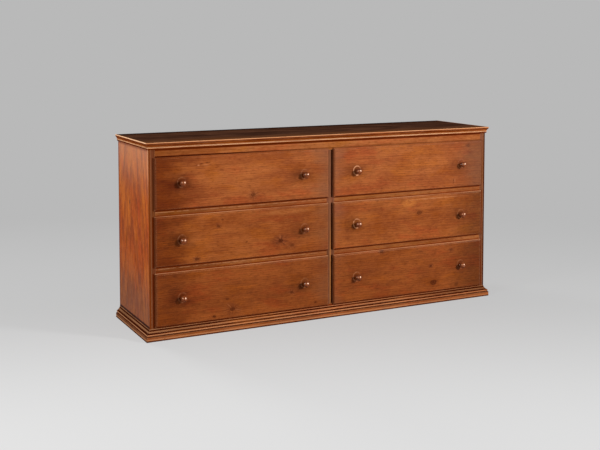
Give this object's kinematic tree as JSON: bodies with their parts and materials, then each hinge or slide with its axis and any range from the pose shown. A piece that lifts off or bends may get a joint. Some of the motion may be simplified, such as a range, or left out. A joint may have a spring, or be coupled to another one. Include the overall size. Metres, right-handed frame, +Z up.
{
  "type": "shaker counter",
  "caption": "Long low pine case with two banks of three lipped drawers, turned knobs, a cove-edged top and a moulded base.",
  "frame": {"origin": "on the floor under the middle of the whole piece, knobs included", "axes": "+X to the right along the front, +Y towards the back, +Z up; the drawers open along -Y"},
  "size_m": [1.76, 0.4684, 0.838],
  "materials": {
    "case_pine": "old red-brown stain under worn shellac",
    "top_pine": "darkened by use, low sheen",
    "moulding_pine": "stain worn pale on the edges",
    "drawer_pine": "old red-brown stain under worn shellac, satin",
    "knob_maple": "turned, dark and polished by handling",
    "bare_pine": "planed and left bare, mellowed with age",
    "iron": "dull, lightly rusted cut nails"
  },
  "bodies": {
    "case": {"top_board": "top_pine", "top_moulding_front": "moulding_pine", "top_moulding_left": "moulding_pine", "top_moulding_right": "moulding_pine", "left_side": "case_pine", "right_side": "case_pine", "centre_partition": "bare_pine", "bottom_board": "bare_pine", "back_boards": "bare_pine", "left_stile": "case_pine", "centre_stile": "case_pine", "right_stile": "case_pine", "top_rail": "case_pine", "upper_rail_left": "case_pine", "upper_rail_right": "case_pine", "lower_rail_left": "case_pine", "lower_rail_right": "case_pine", "bottom_rail": "case_pine", "base_moulding_front": "moulding_pine", "base_moulding_left": "moulding_pine", "base_moulding_right": "moulding_pine", "drawer_runners": "bare_pine", "drawer_guides": "bare_pine", "cut_nails": "iron"},
    "lower_left_drawer": {"lower_left_drawer_front": "drawer_pine", "lower_left_drawer_left_side": "bare_pine", "lower_left_drawer_right_side": "bare_pine", "lower_left_drawer_back": "bare_pine", "lower_left_drawer_bottom": "bare_pine", "lower_left_drawer_knobs": "knob_maple"},
    "lower_right_drawer": {"lower_right_drawer_front": "drawer_pine", "lower_right_drawer_left_side": "bare_pine", "lower_right_drawer_right_side": "bare_pine", "lower_right_drawer_back": "bare_pine", "lower_right_drawer_bottom": "bare_pine", "lower_right_drawer_knobs": "knob_maple"},
    "middle_left_drawer": {"middle_left_drawer_front": "drawer_pine", "middle_left_drawer_left_side": "bare_pine", "middle_left_drawer_right_side": "bare_pine", "middle_left_drawer_back": "bare_pine", "middle_left_drawer_bottom": "bare_pine", "middle_left_drawer_knobs": "knob_maple"},
    "middle_right_drawer": {"middle_right_drawer_front": "drawer_pine", "middle_right_drawer_left_side": "bare_pine", "middle_right_drawer_right_side": "bare_pine", "middle_right_drawer_back": "bare_pine", "middle_right_drawer_bottom": "bare_pine", "middle_right_drawer_knobs": "knob_maple"},
    "upper_left_drawer": {"upper_left_drawer_front": "drawer_pine", "upper_left_drawer_left_side": "bare_pine", "upper_left_drawer_right_side": "bare_pine", "upper_left_drawer_back": "bare_pine", "upper_left_drawer_bottom": "bare_pine", "upper_left_drawer_knobs": "knob_maple"},
    "upper_right_drawer": {"upper_right_drawer_front": "drawer_pine", "upper_right_drawer_left_side": "bare_pine", "upper_right_drawer_right_side": "bare_pine", "upper_right_drawer_back": "bare_pine", "upper_right_drawer_bottom": "bare_pine", "upper_right_drawer_knobs": "knob_maple"}
  },
  "joints": [
    {"name": "lower_left_drawer_slide", "type": "slide", "parent": "case", "child": "lower_left_drawer", "axis": [0, -1, 0], "range_m": [0, 0.3]},
    {"name": "lower_right_drawer_slide", "type": "slide", "parent": "case", "child": "lower_right_drawer", "axis": [0, -1, 0], "range_m": [0, 0.3]},
    {"name": "middle_left_drawer_slide", "type": "slide", "parent": "case", "child": "middle_left_drawer", "axis": [0, -1, 0], "range_m": [0, 0.3]},
    {"name": "middle_right_drawer_slide", "type": "slide", "parent": "case", "child": "middle_right_drawer", "axis": [0, -1, 0], "range_m": [0, 0.3]},
    {"name": "upper_left_drawer_slide", "type": "slide", "parent": "case", "child": "upper_left_drawer", "axis": [0, -1, 0], "range_m": [0, 0.3]},
    {"name": "upper_right_drawer_slide", "type": "slide", "parent": "case", "child": "upper_right_drawer", "axis": [0, -1, 0], "range_m": [0, 0.3]}
  ]
}
